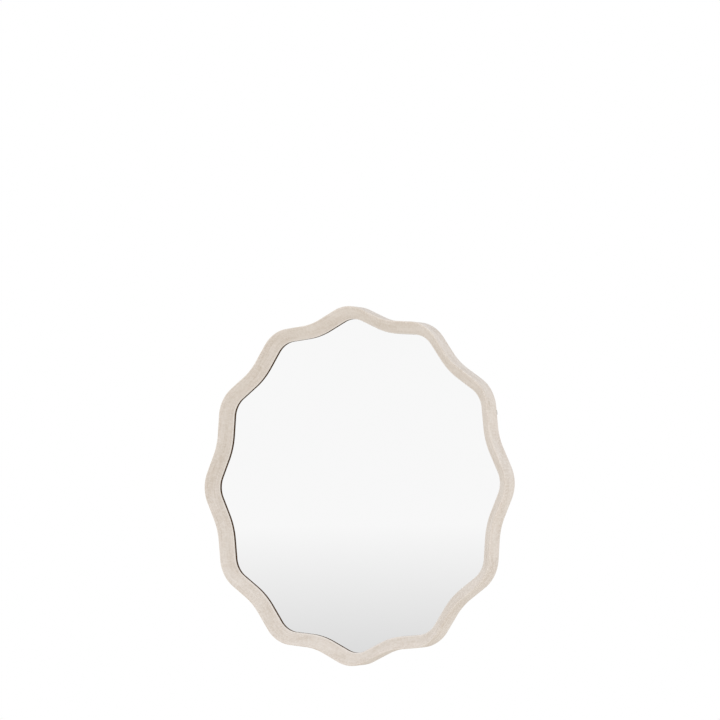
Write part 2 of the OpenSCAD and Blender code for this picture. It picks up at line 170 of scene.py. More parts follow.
class MirrorColours(bpy.types.PropertyGroup):
    """Colours of the finishes"""

    oak: colour("Whitewashed oak", "Oak under a thin white wash", "#d3c9bf")
    oak_late: colour("Oak late wood", "Denser bands of the whitewashed oak", "#c4baac")
    oak_line: colour("Oak grain lines", "Fine lines of the whitewashed oak", "#b5a999")
    # Also the colour of the painted highlight along the sight edge
    wash_and_edge_highlight: colour("Wash", "Where the white wash lies thicker, and in the pores", "#e0dad3")
    # Painted shade: a dark brown that stands in for the shadow in the rebate and its reflection in the glass
    painted_rebate_shade: colour("Rebate stain", "Dark stain on the lip and the ledge at the glass", "#4e3718")
    raw_oak: colour("Raw oak", "Unwashed oak at the back", "#c7ab83")
    raw_oak_late: colour("Raw oak late wood", "Denser bands of the unwashed oak", "#b5966e")
    raw_oak_line: colour("Raw oak grain lines", "Fine lines of the unwashed oak", "#9c7d58")
    raw_oak_pore: colour("Raw oak pores", "Open pores and flecks of the unwashed oak", "#ac8e68")
    silver: colour("Silvering", "Light that the silvered glass gives back", "#f8f8f8")
    paint: colour("Backing paint", "Paint over the silvering", "#77807c")
    paint_shade: colour("Backing paint shade", "Darker patches of the backing paint", "#6b7470")
    foam: colour("Foam", "Foam sheet behind the glass", "#ecebe6")
    foam_shade: colour("Foam shade", "Pits in the foam's skin", "#e2e1db")
    packer: colour("Packers", "Soft packers round the glass", "#2d2d2d")
    packer_shade: colour("Packer shade", "Darker patches of the packers", "#242424")
    beech: colour("Beech", "Dowels in the joints", "#c9a878")
    beech_late: colour("Beech late wood", "Denser wood of the dowels", "#b8946a")
    hardboard: colour("Hardboard", "Brown board at the back", "#85624a")
    fibre: colour("Board fibre", "Darker fibre in the board", "#5d412c")
    zinc: colour("Zinc", "Zinc plating of the clips, straps and screws", "#c9ccd0")
    clip_cloud: colour("Clip cloud", "Where a clip's zinc is duller", "#b3b7bc")
    strap_cloud: colour("Strap cloud", "Where a strap's zinc is duller", "#b0b4ba")
    screw_cloud: colour("Screw cloud", "Where a screw's zinc is duller", "#a9adb3")
    nickel: colour("Nickel", "Nickel plating of the hanging rings", "#bebbb5")
    nickel_cloud: colour("Nickel cloud", "Where the nickel is duller", "#a5a29b")
    rubber: colour("Rubber", "Wall bumpers", "#35363a")
    rubber_shade: colour("Rubber shade", "Darker patches of the rubber", "#2b2c2f")
    floor: colour("Floor", "Plain pale floor", "#f4f2ef")


class MirrorStageSettings(bpy.types.PropertyGroup):
    """Camera, floor and surroundings"""

    camera_distance: length("Camera distance", "From the middle of the frame's back to the camera", 6.1475)
    camera_azimuth: angle("Camera azimuth", "Place of the camera to the right of straight ahead", 33.021)
    camera_elevation: angle("Camera elevation", "Place of the camera above the mirror's middle", -0.447)
    camera_yaw: angle("Camera yaw", "Turn of the camera to the left", 32.958)
    camera_pitch: angle("Camera pitch", "Tilt of the camera above the horizon", 3.435)
    camera_roll: angle("Camera roll", "Turn of the camera about its own axis", -0.681)
    lens: bpy.props.FloatProperty(name="Lens", description="Focal length in mm on a 36 mm sensor", default=119.937)
    floor_depth: length("Floor depth", "From the mirror's middle down to the floor", 1.45)
    floor_radius: length("Floor radius", "From the floor's middle to its rim", 5.0)
    light_above: colour("Light from above", "Linear colour of the surroundings overhead", (0.944, 0.955, 1.0))
    light_below: colour("Light from below", "Linear colour of the surroundings underfoot", (0.978, 0.932, 0.865))


def settings(name):
    return getattr(bpy.context.scene, name)


def add_node(tree, kind, inputs=None, **values):
    """Adds a node with its settings. An input takes a value or the socket that feeds it."""
    node = tree.nodes.new(kind)
    for key, value in values.items():
        setattr(node, key, value)
    for key, value in (inputs or {}).items():
        if isinstance(value, bpy.types.NodeSocket):
            tree.links.new(value, node.inputs[key])
        else:
            node.inputs[key].default_value = value
    return node


def new_material(name, attribute=None):
    """An empty material, its node tree and the place on the surface, by an attribute or by the object's own axes."""
    material = bpy.data.materials.new(name)
    material.use_nodes = True
    tree = material.node_tree
    tree.nodes.clear()
    if attribute:
        return material, tree, add_node(tree, "ShaderNodeAttribute", attribute_name=attribute).outputs["Vector"]
    return material, tree, add_node(tree, "ShaderNodeTexCoord").outputs["Object"]


def close_material(material, shader, inputs):
    """Ends the material's tree with a shader of this kind, and gives back the material."""
    surface = add_node(material.node_tree, shader, inputs).outputs[0]
    add_node(material.node_tree, "ShaderNodeOutputMaterial", {"Surface": surface})
    return material


def pattern(tree, place, sizes_in_mm, detail, turn=0.0):
    """Strength of a noise whose patches have the given sizes and are turned about the y axis."""
    patch_place = add_node(
        tree, "ShaderNodeMapping",
        {"Vector": place, "Rotation": (0, turn, 0), "Scale": [size * MM for size in sizes_in_mm]},
        vector_type="TEXTURE",
    )
    noise = add_node(
        tree, "ShaderNodeTexNoise", {"Vector": patch_place.outputs[0], "Scale": 1.0, "Detail": detail}
    )
    return noise.outputs["Fac"]


def covered_share(tree, place, sizes_in_mm, detail, low, high, most=1.0, turn=0.0):
    """Share of the surface that a pattern covers: none where its strength is low, and the most where it is high."""
    strength = pattern(tree, place, sizes_in_mm, detail, turn)
    return add_node(
        tree, "ShaderNodeMapRange", {"Value": strength, "From Min": low, "From Max": high, "To Max": most}
    ).outputs[0]


def lay_over(tree, tone, layers):
    """Lays colours over a tone one after another. Each layer is the share that it covers, its weight and colour."""
    for share, weight, cover in layers:
        shown = add_node(tree, "ShaderNodeMath", {0: share, 1: weight}, operation="MULTIPLY").outputs[0]
        tone = add_node(tree, "ShaderNodeMix", {0: shown, 6: tone, 7: cover}, data_type="RGBA").outputs[2]
    return tone


def dimmed(tone, share):
    """The tone with a share of its light."""
    return [channel * share for channel in tone[:3]] + [1.0]


def oak_material(name, early, late, line, filler_and_edge_highlight, roughness, sight_edge=None):
    """Oak whose grain follows the ring. The place is the way along the outline, the inset from it and the depth."""
    material, tree, board = new_material(name, "board")
    inset = add_node(tree, "ShaderNodeSeparateXYZ", {"Vector": board}).outputs["Y"]
    # The sawn outer wall shows the grain and the wash half as much again as the planed face does
    on_wall = add_node(
        tree, "ShaderNodeMapRange", {"Value": inset, "From Max": 1.5 * MM, "To Min": 1.5, "To Max": 1.0}
    ).outputs[0]
    # Growth bands about 7 mm wide that run on for a hand's length
    bands = covered_share(tree, board, (120, 7, 8), 2.0, 0.36, 0.66, 0.5)
    # Lines of the grain, 2 mm wide and 45 mm long
    lines = covered_share(tree, board, (45, 2.2, 2.2), 3.0, 0.44, 0.68, 0.5)
    # Ray flecks, short marks that lie across the grain
    flecks = covered_share(tree, board, (4.5, 7, 9), 1.0, 0.4, 0.7, 0.42)
    # Open pores, 6 mm long and a third of a millimetre wide, which hold the filler
    pores = covered_share(tree, board, (6, 0.34, 0.5), 1.0, 0.6, 0.7)
    # The filler was wiped by hand, so it lies thicker in patches
    patches = covered_share(tree, board, (70, 30, 30), 2.0, 0.35, 0.75, 0.45)
    layers = [
        (bands, 1.0, late), (lines, on_wall, line), (flecks, on_wall, filler_and_edge_highlight), (pores, 0.55, filler_and_edge_highlight),
        (patches, on_wall, filler_and_edge_highlight),
    ]
    if sight_edge:
        # A painted highlight: a line about 3 mm wide along the sight edge in the pale wash colour, where the rounded
        # edge would catch the light
        painted_edge_highlight = add_node(
            tree, "ShaderNodeMapRange",
            {"Value": inset, "From Min": sight_edge - 3.4 * MM, "From Max": sight_edge - 1.8 * MM, "To Max": 0.7},
        ).outputs[0]
        layers.append((painted_edge_highlight, 1.0, filler_and_edge_highlight))
    relief = add_node(
        tree, "ShaderNodeBump", {"Height": pores, "Strength": 0.5, "Distance": 0.06 * MM}, invert=True
    )
    return close_material(material, "ShaderNodeBsdfPrincipled", {
        "Base Color": lay_over(tree, early, layers), "Roughness": roughness, "IOR": 1.5, "Specular IOR Level": 0.3,
        "Normal": relief.outputs[0],
    })


def painted_shade_material(name, painted_rebate_shade):
    """Dark brown painted shade on a sawn edge, in place of the shadow in the rebate and its reflection in the glass:
    matt, a little uneven.
    """
    material, tree, board = new_material(name, "board")
    streaks = pattern(tree, board, (30, 2, 2), 3.0)
    tone = lay_over(tree, painted_rebate_shade, [(streaks, 1.0, dimmed(painted_rebate_shade, 0.7))])
    return close_material(material, "ShaderNodeBsdfPrincipled", {
        "Base Color": tone, "Roughness": 0.7, "IOR": 1.5, "Specular IOR Level": 0.2,
    })


def metal_material(name, base, dull, roughness, patch_mm):
    """Plated steel. The plating clouds slightly over patches of the given size."""
    material, tree, place = new_material(name)
    clouds = pattern(tree, place, [patch_mm] * 3, 4.0)
    tone = lay_over(tree, base, [(clouds, 1.0, dull)])
    gloss = add_node(
        tree, "ShaderNodeMapRange",
        {"Value": clouds, "From Min": 0.3, "From Max": 0.7, "To Min": roughness * 0.8, "To Max": roughness * 1.25},
    )
    return close_material(material, "ShaderNodeBsdfPrincipled", {
        "Base Color": tone, "Metallic": 1.0, "Roughness": gloss.outputs[0],
    })


def mottled_material(name, base, shade, patch_mm, roughness, bump_mm=0.0):
    """A dull material whose tone wanders between two colours over patches of the given size."""
    material, tree, place = new_material(name)
    patches = pattern(tree, place, [patch_mm] * 3, 5.0)
    tone = lay_over(tree, base, [(patches, 1.0, shade)])
    relief = add_node(tree, "ShaderNodeBump", {"Height": patches, "Strength": 0.4, "Distance": bump_mm * MM})
    return close_material(material, "ShaderNodeBsdfPrincipled", {
        "Base Color": tone, "Roughness": roughness, "IOR": 1.5, "Normal": relief.outputs[0],
    })


def pressed_fibre_material(name, board, fibre):
    """Hardboard: wood fibre pressed hard and smooth, clouded over a hand's width and flecked with darker fibre."""
    material, tree, place = new_material(name)
    clouds = covered_share(tree, place, (80, 80, 80), 4.0, 0.3, 0.7, 0.16)
    # Fibre bundles 5 mm long and 1.1 mm thick, which lie every way
    bundles = [
        covered_share(tree, place, (5, 5, 1.1), 3.0, 0.48, 0.74, 0.3, math.radians(degrees))
        for degrees in (20, 80, 140)
    ]
    tone = lay_over(tree, board, [(share, 1.0, fibre) for share in (clouds, *bundles)])
    relief = add_node(tree, "ShaderNodeBump", {"Height": bundles[-1], "Strength": 0.4, "Distance": 0.05 * MM})
    return close_material(material, "ShaderNodeBsdfPrincipled", {
        "Base Color": tone, "Roughness": 0.55, "IOR": 1.5, "Specular IOR Level": 0.4, "Normal": relief.outputs[0],
    })


def silvered_glass_material(name, silver):
    """Float glass over silver: a clean mirror, very slightly duller in patches."""
    material, tree, place = new_material(name)
    film = pattern(tree, place, (140, 140, 140), 2.0)
    tone = lay_over(tree, silver, [(film, 1.0, dimmed(silver, 0.995))])
    return close_material(
        material, "ShaderNodeBsdfPrincipled", {"Base Color": tone, "Metallic": 1.0, "Roughness": 0.0}
    )


def arc(centre, axis, turn, steps):
    """A stretch of a sweep that turns about an axis."""
    return centre, axis, turn, ORIGIN, steps


def straight(travel, steps):
    """A stretch of a sweep that runs straight on."""
    return ORIGIN, RIGHT, 0, Vector(travel), steps


def sweep(bm, stretches):
    """Carries what is drawn through the stretches one after another."""
    drawn = bm.verts[:] + bm.edges[:]
    for centre, axis, turn, travel, steps in stretches:
        drawn = bmesh.ops.spin(
            bm, geom=drawn, cent=centre, axis=axis, dvec=travel / steps, angle=turn, steps=steps
        )["geom_last"]


class Wave:
    """Arcs of the outline: the lobe's centre lies inside it and the valley's centre outside it."""

    def __init__(self, sizes):
        lobe = sizes.lobe_radius
        tip = sizes.outer_diameter / 2
        self.valley_base = tip - sizes.wave_depth
        self.lobe_centre = tip - lobe
        along_joint = self.lobe_centre * math.cos(HALF_PITCH)
        valley = (
            lobe**2 + sizes.flank_length**2 - self.lobe_centre**2 - self.valley_base**2
            + 2 * along_joint * self.valley_base
        ) / (2 * (self.valley_base - along_joint - lobe))
        self.valley_centre = self.valley_base + valley
        rise = self.valley_centre * math.cos(HALF_PITCH) - self.lobe_centre
        side = self.valley_centre * math.sin(HALF_PITCH)
        self.lobe, self.valley = lobe, valley
        self.lobe_turn = math.atan2(side, rise) - math.acos((lobe + valley) / math.hypot(rise, side))
        self.valley_turn = self.lobe_turn - HALF_PITCH
        self.flank_length = sizes.flank_length
        self.flank_end = lobe * self.lobe_turn + self.flank_length
        self.half_length = self.flank_end + valley * self.valley_turn

    def carry_over_lobe(self, bm):
        """Sweeps what is drawn straight up from the middle over the top lobe, from the left joint to the right."""
        bmesh.ops.rotate(bm, verts=bm.verts, cent=ORIGIN, matrix=Matrix.Rotation(-HALF_PITCH, 3, "Y"))
        side, up = math.sin(HALF_PITCH) * self.valley_centre, math.cos(HALF_PITCH) * self.valley_centre
        along, rise = math.cos(self.lobe_turn) * self.flank_length, math.sin(self.lobe_turn) * self.flank_length
        sweep(bm, (
            arc((-side, 0, up), LEFT, self.valley_turn, VALLEY_STEPS),
            straight((along, 0, rise), FLANK_STEPS),
            arc((0, 0, self.lobe_centre), RIGHT, 2 * self.lobe_turn, LOBE_STEPS),
            straight((along, 0, -rise), FLANK_STEPS),
            arc((side, 0, up), LEFT, self.valley_turn, VALLEY_STEPS),
        ))

    def unrolled(self, point):
        """Way along the outline from the top lobe's tip, positive to the right, and distance in from it."""
        from_lobe = Vector((abs(point.x), point.z - self.lobe_centre))
        along_flank = Vector((math.cos(self.lobe_turn), -math.sin(self.lobe_turn)))
        out_of_flank = Vector((math.sin(self.lobe_turn), math.cos(self.lobe_turn)))
        past_lobe = from_lobe.dot(along_flank)
        if past_lobe <= 0:
            way = self.lobe * math.atan2(from_lobe.x, from_lobe.y)
            inset = self.lobe - from_lobe.length
        elif past_lobe <= self.flank_length:
            way = self.lobe * self.lobe_turn + past_lobe
            inset = self.lobe - from_lobe.dot(out_of_flank)
        else:
            to_valley = out_of_flank * (self.lobe + self.valley) + along_flank * self.flank_length - from_lobe
            way = self.flank_end + self.valley * to_valley.angle(out_of_flank)
            inset = to_valley.length - self.valley
        return math.copysign(way, point.x), inset


def bevel(bm, geometry, offset, segments, affect="EDGES"):
    """Rounds edges, or the corners of a flat face where VERTICES are affected."""
    bmesh.ops.bevel(
        bm, geom=geometry, offset=offset, offset_type="OFFSET", segments=segments, profile=0.5,
        affect=affect, material=-1, clamp_overlap=affect == "EDGES",
    )


def close_seams(bm):
    """Joins vertices that meet, and turns all faces outwards."""
    bmesh.ops.remove_doubles(bm, verts=bm.verts, dist=WELD)
    bmesh.ops.recalc_face_normals(bm, faces=bm.faces)


def turn_round(bm, axis, steps):
    """Makes the drawn profile a solid of revolution."""
    bmesh.ops.spin(
        bm, geom=bm.verts[:] + bm.edges[:], cent=ORIGIN, axis=axis, dvec=ORIGIN, angle=2 * math.pi, steps=steps,
        use_merge=True,
    )
    close_seams(bm)


def sharp_edges(bm, least_degrees=30):
    """The edges where two faces meet at more than this angle."""
    return [
        edge for edge in bm.edges
        if edge.is_manifold and edge.calc_face_angle(0) > math.radians(least_degrees)
    ]


def rounded_outline(bm, corners):
    """A flat face through the corners, each given as (point, rounding radius)."""
    verts = [bm.verts.new(point) for point, radius in corners]
    bm.faces.new(verts)
    points = [Vector(point) for point, radius in corners]
    for i, (point, radius) in enumerate(corners):
        if radius:
            before, after = points[i - 1] - points[i], points[(i + 1) % len(points)] - points[i]
            bevel(bm, [verts[i]], radius / math.tan(before.angle(after) / 2), 5, "VERTICES")


def extrude_face(bm, travel):
    """Makes the flat face a closed solid that reaches as far as the travel."""
    raised = bmesh.ops.extrude_face_region(bm, geom=bm.faces[:])["geom"]
    bmesh.ops.translate(bm, verts=[v for v in raised if isinstance(v, bmesh.types.BMVert)], vec=travel)
    bmesh.ops.recalc_face_normals(bm, faces=bm.faces)


def new_object(name, bm, *materials):
    """Makes a bmesh an object of the scene and frees it."""
    mesh = bpy.data.meshes.new(name)
    bm.to_mesh(mesh)
    bm.free()
    for material in materials:
        mesh.materials.append(material)
    thing = bpy.data.objects.new(name, mesh)
    bpy.context.scene.collection.objects.link(thing)
    return thing


def cut(bm, cutter):
    """Takes the cutter's solid out of the other one and gives back the result."""
    whole, tool = parts = [new_object("cut", part) for part in (bm, cutter)]
    modifier = whole.modifiers.new("cut", "BOOLEAN")
    modifier.object = tool
    modifier.solver = "EXACT"
    result = bmesh.new()
    result.from_object(whole, bpy.context.evaluated_depsgraph_get())
    for part in parts:
        mesh = part.data
        bpy.data.objects.remove(part)
        bpy.data.meshes.remove(mesh)
    return result


def make_piece(name, bm, body, materials, nodes, crease_degrees=30):
    """Makes a bmesh a smooth-shaded piece that rides on its body and stands for its CAD nodes."""
    piece = new_object(name, bm, *materials)
    piece.data.shade_smooth()
    piece.data.set_sharp_from_angle(angle=math.radians(crease_degrees))
    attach(piece, body)
    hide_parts(*nodes)


def finish_node(node, material):
    """Gives a CAD node that stays its material."""
    for slot in frame["nodes"][node].material_slots:
        slot.material = material


def hour_turn(hour):
    """Turn of the top segment to a clock hour."""
    return Matrix.Rotation(hour * PITCH, 4, "Y")


def segment_solid(sizes, wave):
    """The top segment: the ring's section swept from joint to joint, with flat ends."""
    bm = bmesh.new()
    rebate = sizes.face_width - sizes.rebate_width
    rounded_outline(bm, [
        ((0, height, wave.valley_base - inset), radius)
        for inset, height, radius in (
            (0, FRAME_BACK, sizes.back_radius),
            (0, FRAME_FRONT, sizes.ridge_radius),
            (sizes.land_width, FRAME_FRONT, sizes.land_radius),
            (sizes.face_width, FRAME_FRONT + sizes.face_drop, sizes.sight_radius),
            (sizes.face_width, GLASS_FRONT, 0),
            (rebate, GLASS_FRONT, 0),
            (rebate, FRAME_BACK, sizes.sight_radius),
        )
    ])
    bmesh.ops.delete(bm, geom=bm.faces[:], context="FACES_ONLY")
    wave.carry_over_lobe(bm)
    bmesh.ops.holes_fill(bm, edges=[edge for edge in bm.edges if edge.is_boundary])
    bmesh.ops.recalc_face_normals(bm, faces=bm.faces)
    return bm


class MIRROR_OT_ring_segments(bpy.types.Operator):
    """Sweep the twelve oak segments of the ring"""

    bl_idname = "mirror.ring_segments"
    bl_label = "Oak Segments"

    def execute(self, context):
        sizes, colours = settings("mirror_ring"), settings("mirror_colours")
        wave = Wave(sizes)
        # Oak under a thin white wash: pale and matt, with its grain still showing, and a painted highlight along the
        # sight edge
        washed = oak_material(
            "whitewashed_oak", colours.oak, colours.oak_late, colours.oak_line, colours.wash_and_edge_highlight, 0.62, sizes.face_width
        )
        # Painted shade on the lip and the ledge: a dark brown that stands in for the shadow in the rebate and its
        # reflection in the glass, the dark line round the glass
        shaded_rebate = painted_shade_material("rebate_painted_shade", colours.painted_rebate_shade)
        # Oak as it left the saw, at the back: warmer and duller, with dark pores
        raw = oak_material(
            "raw_oak", colours.raw_oak, colours.raw_oak_late, colours.raw_oak_line, colours.raw_oak_pore, 0.75
        )
        top = segment_solid(sizes, wave)
        sight = FRAME_FRONT + sizes.face_drop
        for face in top.faces:
            centre = face.calc_center_median()
            outwards = face.normal.dot(Vector((centre.x, 0, centre.z)).normalized())
            if face.normal.y > 0.5:
                # The back of the frame, or else the ledge that the glass lies on, which gets the painted shade
                face.material_index = RAW if centre.y > FRAME_BACK - MM else PAINTED_SHADE
            elif outwards < -0.5 and centre.y > sight - 0.1 * MM:
                # The lip and the wall of the rebate, in the painted shade
                face.material_index = PAINTED_SHADE
            else:
                face.material_index = WASHED
        for hour, node in enumerate(SEGMENTS, 1):
            segment = top.copy()
            board = segment.verts.layers.float_vector.new("board")
            # The grain follows the ring and runs on across the joints, except at the one between hours 6 and 7
            from_top = hour if hour <= len(SEGMENTS) / 2 else hour - len(SEGMENTS)
            for vert in segment.verts:
                way, inset = wave.unrolled(vert.co)
                vert[board] = (way + 2 * wave.half_length * from_top, inset, vert.co.y)
            bmesh.ops.transform(segment, matrix=hour_turn(hour), verts=segment.verts)
            make_piece(node.replace("frame", "oak"), segment, "root", (washed, shaded_rebate, raw), [node], 25)
        top.free()
        return {"FINISHED"}


def wavy_pane(wave, inset, front, back, arris):
    """A flat pane cut to the wave, between two planes, with a ground edge."""
    bm = bmesh.new()
    bm.verts.new((0, front, wave.valley_base - inset))
    wave.carry_over_lobe(bm)
    bmesh.ops.spin(
        bm, geom=bm.verts[:] + bm.edges[:], cent=ORIGIN, axis=RIGHT, dvec=ORIGIN,
        angle=2 * math.pi - PITCH, steps=len(SEGMENTS) - 1, use_duplicate=True,
    )
    bmesh.ops.remove_doubles(bm, verts=bm.verts, dist=WELD)
    bmesh.ops.contextual_create(bm, geom=bm.edges[:])
    if not bm.faces:
        raise RuntimeError("the pane's outline didn't close")
    extrude_face(bm, (0, back - front, 0))
    bevel(bm, sharp_edges(bm, 60), arris, 2)
    return bm


class MIRROR_OT_glass(bpy.types.Operator):
    """Cut the silvered glass to the wave"""

    bl_idname = "mirror.glass"
    bl_label = "Silvered Glass"

    def execute(self, context):
        sizes, colours = settings("mirror_fittings"), settings("mirror_colours")
        wave = Wave(settings("mirror_ring"))
        pane = wavy_pane(wave, sizes.glass_inset, GLASS_FRONT, GLASS_BACK, sizes.glass_arris)
        for face in pane.faces:
            face.material_index = 1 if face.normal.y > 0.5 else 0
        # Silver behind clear float glass: a sharp reflection with hardly a colour of its own
        silver = silvered_glass_material("silvered_glass", colours.silver)
        # Grey paint rolled over the silver: dull, with soft patches
        paint = mottled_material("backing_paint", colours.paint, colours.paint_shade, 3, 0.6)
        make_piece("silvered_pane", pane, "root", (silver, paint), ["mirror_glass"], 15)
        return {"FINISHED"}


class MIRROR_OT_back(bpy.types.Operator):
    """Cut the hardboard back and finish what lies under it"""

    bl_idname = "mirror.back"
    bl_label = "Back Board"

    def execute(self, context):
        sizes, colours = settings("mirror_fittings"), settings("mirror_colours")
        wave = Wave(settings("mirror_ring"))
        board = wavy_pane(wave, sizes.board_inset, BOARD_FRONT, BOARD_BACK, sizes.board_arris)
        # Hardboard: smooth brown with a dull sheen, flecked with dark fibre
        pressed = pressed_fibre_material("hardboard", colours.hardboard, colours.fibre)
        make_piece("hardboard_back", board, "root", (pressed,), ["backing_board"], 15)
        for node, *finish in (
            # Closed-cell foam: white and dead matt, with a finely pitted skin
            ("foam_sheet", "closed_cell_foam", colours.foam, colours.foam_shade, 0.6, 0.9, 0.1),
            # Soft packing rubber: nearly black and matt
            ("glass_packers", "soft_packer", colours.packer, colours.packer_shade, 1, 0.8, 0.05),
            # Turned beech: pale and even, with short flecks
            ("joint_dowels", "beech", colours.beech, colours.beech_late, 1.2, 0.7, 0.05),
        ):
            finish_node(node, mottled_material(*finish))
        return {"FINISHED"}


def screw_solid(sizes, diameter, shank, recess):
    """Pan-head screw that stands on z = 0, with its shank below and a cross recess in its head."""
    radius, head = diameter / 2, sizes.screw_head
    bm = bmesh.new()
    outline = [(0, -shank), (radius, sizes.screw_tip - shank), (radius, 0)]
    outline += [(across * radius * HEAD_RATIO, up * head) for across, up in PAN_HEAD]
    verts = [bm.verts.new((x, 0, z)) for x, z in outline]
    for pair in zip(verts, verts[1:]):
        bm.edges.new(pair)
    turn_round(bm, (0, 0, 1), steps=32)
    for turn in (0, math.pi / 2):
        # One bar of the cross, sunk 1.1 mm into the head and narrower at its bottom
        bar = bmesh.new()
        bmesh.ops.create_cube(bar, size=1)
        bmesh.ops.scale(bar, vec=(recess, recess * 0.24, 2.4 * MM), verts=bar.verts)
        bmesh.ops.scale(bar, vec=(0.35, 0.7, 1), verts=[vert for vert in bar.verts if vert.co.z < 0])
        bmesh.ops.translate(bar, vec=(0, 0, head + 0.1 * MM), verts=bar.verts)
        bmesh.ops.rotate(bar, cent=ORIGIN, matrix=Matrix.Rotation(turn, 3, "Z"), verts=bar.verts)
        bm = cut(bm, bar)
    return bm


def place_copies(source, places):
    """One bmesh that holds a copy of the source at each place, and frees the source."""
    mesh = bpy.data.meshes.new("copies")
    source.to_mesh(mesh)
    source.free()
    result = bmesh.new()
    for place in places:
        first = len(result.verts)
        result.from_mesh(mesh)
        result.verts.ensure_lookup_table()
        bmesh.ops.transform(result, matrix=place, verts=result.verts[first:])
    bpy.data.meshes.remove(mesh)
    return result


# Puts something drawn with its height along z on the back of the frame, with y up
OUT_OF_BACK = Matrix(((-1, 0, 0, 0), (0, 0, 1, 0), (0, 1, 0, 0), (0, 0, 0, 1)))


class MIRROR_OT_clips(bpy.types.Operator):
    """Bend the stepped clips that hold the board, and their screws"""

    bl_idname = "mirror.clips"
    bl_label = "Clips"

    def execute(self, context):
        ring, sizes, colours = settings("mirror_ring"), settings("mirror_fittings"), settings("mirror_colours")
        low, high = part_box(CLIPS[-1])
        steel, bend = sizes.clip_steel, sizes.clip_bend
        riser = ring.outer_diameter / 2 - sizes.clip_step_inset
        clip = bmesh.new()
        rounded_outline(clip, [
            ((low.x, y, z), radius)
            for y, z, radius in (
                (FRAME_BACK + steel, high.z, 0),
                (FRAME_BACK, high.z, 0),
                (FRAME_BACK, riser, bend),
                (low.y, riser, bend + steel),
                (low.y, low.z, 0),
                (low.y + steel, low.z, 0),
                (low.y + steel, riser - steel, bend),
                (FRAME_BACK + steel, riser - steel, bend + steel),
            )
        ])
        extrude_face(clip, (high.x - low.x, 0, 0))
        # The short edges through the steel at the strip's two ends
        ends = [
            edge for edge in clip.edges
            if abs((edge.verts[0].co - edge.verts[1].co).normalized().y) > 0.99
            and edge.calc_length() < 1.01 * steel
            and any(abs(edge.verts[0].co.z - z) < WELD for z in (low.z, high.z))
        ]
        bevel(clip, ends, sizes.clip_corner, 5)
        bevel(clip, sharp_edges(clip), sizes.clip_edge, 2)
        # Zinc on pressed steel: grey with a cold, clouded half gloss
        zinc = metal_material("zinc_plate", colours.zinc, colours.clip_cloud, 0.34, 9)
        for hour, node in enumerate(CLIPS, 1):
            bent = clip.copy()
            bmesh.ops.transform(bent, matrix=hour_turn(hour), verts=bent.verts)
            make_piece(node.replace("retaining", "board"), bent, "root", (zinc,), [node])
        clip.free()
        middle = (high.z + ring.outer_diameter / 2 - ring.face_width + ring.rebate_width) / 2
        stand = Matrix.Translation((0, FRAME_BACK + steel, middle)) @ OUT_OF_BACK
        # Each screw stops at a turn of its own
        screws = place_copies(
            screw_solid(sizes, sizes.clip_screw_diameter, sizes.clip_screw_length, sizes.clip_screw_recess),
            [hour_turn(hour) @ stand @ Matrix.Rotation(0.7 * hour, 4, "Z") for hour in range(len(CLIPS))],
        )
        # Zinc on turned steel: brighter than on the clips
        bright = metal_material("bright_zinc", colours.zinc, colours.screw_cloud, 0.26, 4)
        make_piece("clip_screw_set", screws, "root", (bright,), ["clip_screws"])
        return {"FINISHED"}


def hanger_place(body):
    """Frame of a hanger: the origin lies under the ring's bar on the frame's back, y runs up the strap, z out."""
    joint = RING_JOINTS[body]
    bar = Vector(joint["axis"]).normalized()
    out = Vector((0, 1, 0))
    up = bar.cross(out)
    pivot = Vector(joint["pos_m"])
    turn = Matrix((-bar, up, out)).transposed().to_4x4()
    return Matrix.Translation((pivot.x, FRAME_BACK, pivot.z)) @ turn, pivot.y - FRAME_BACK


def strap_solid(sizes, pivot_height):
    """One strip folded round the ring's bar: up the frame, round the bar and back down over itself."""
    steel, half = sizes.strap_steel, sizes.strap_width / 2
    fold = sizes.wire_diameter / 2 + sizes.pivot_fit
    slant = 2 * math.atan(fold / sizes.strap_merge)
    # The strip is drawn by its outer side, and its steel lies inside that. The outer leaf lies a hair's breadth
    # above the inner one
    outside = fold + steel
    slope = (pivot_height + outside * math.cos(slant) - 2.02 * steel) / math.sin(slant)
    merge = outside * math.sin(slant) + slope * math.cos(slant)
    bm = bmesh.new()
    ends = [bm.verts.new((x, -sizes.strap_length, 0)) for x in (-half, half)]
    bm.edges.new(ends)
    sweep(bm, (
        straight((0, sizes.strap_length, 0), 4),
        arc((0, 0, pivot_height), (1, 0, 0), math.pi + slant, 28),
        straight((0, -math.cos(slant) * slope, -math.sin(slant) * slope), 2),
        straight((0, merge - sizes.strap_length, 0), 4),
    ))
    # Both ends are all but half round
    bevel(bm, [vert for vert in bm.verts if len(vert.link_edges) == 2], half * 0.98, 10, "VERTICES")
    bmesh.ops.recalc_face_normals(bm, faces=bm.faces)
    bmesh.ops.solidify(bm, geom=bm.faces[:], thickness=steel)
    return bm


def ring_solid(sizes):
    """D-shaped wire ring: its bar lies on the x axis and its bow hangs along -y."""
    bow = (sizes.ring_inner_width + sizes.wire_diameter) / 2
    bow_centre = sizes.ring_inner_height + sizes.wire_diameter - bow
    corner, half_bar = sizes.ring_corner, bow - sizes.ring_corner
    clockwise = (0, 0, -1)
    bm = bmesh.new()
    bmesh.ops.create_circle(bm, segments=24, radius=sizes.wire_diameter / 2)
    bmesh.ops.rotate(bm, verts=bm.verts, cent=ORIGIN, matrix=Matrix.Rotation(math.pi / 2, 3, "Y"))
    to_corner, leg = straight((half_bar, 0, 0), 2), bow_centre - corner
    sweep(bm, (
        to_corner,
        arc((half_bar, -corner, 0), clockwise, math.pi / 2, 8),
        straight((0, -leg, 0), 2),
        arc((0, -bow_centre, 0), clockwise, math.pi, 32),
        straight((0, leg, 0), 2),
        arc((-half_bar, -corner, 0), clockwise, math.pi / 2, 8),
        to_corner,
    ))
    close_seams(bm)
    return bm


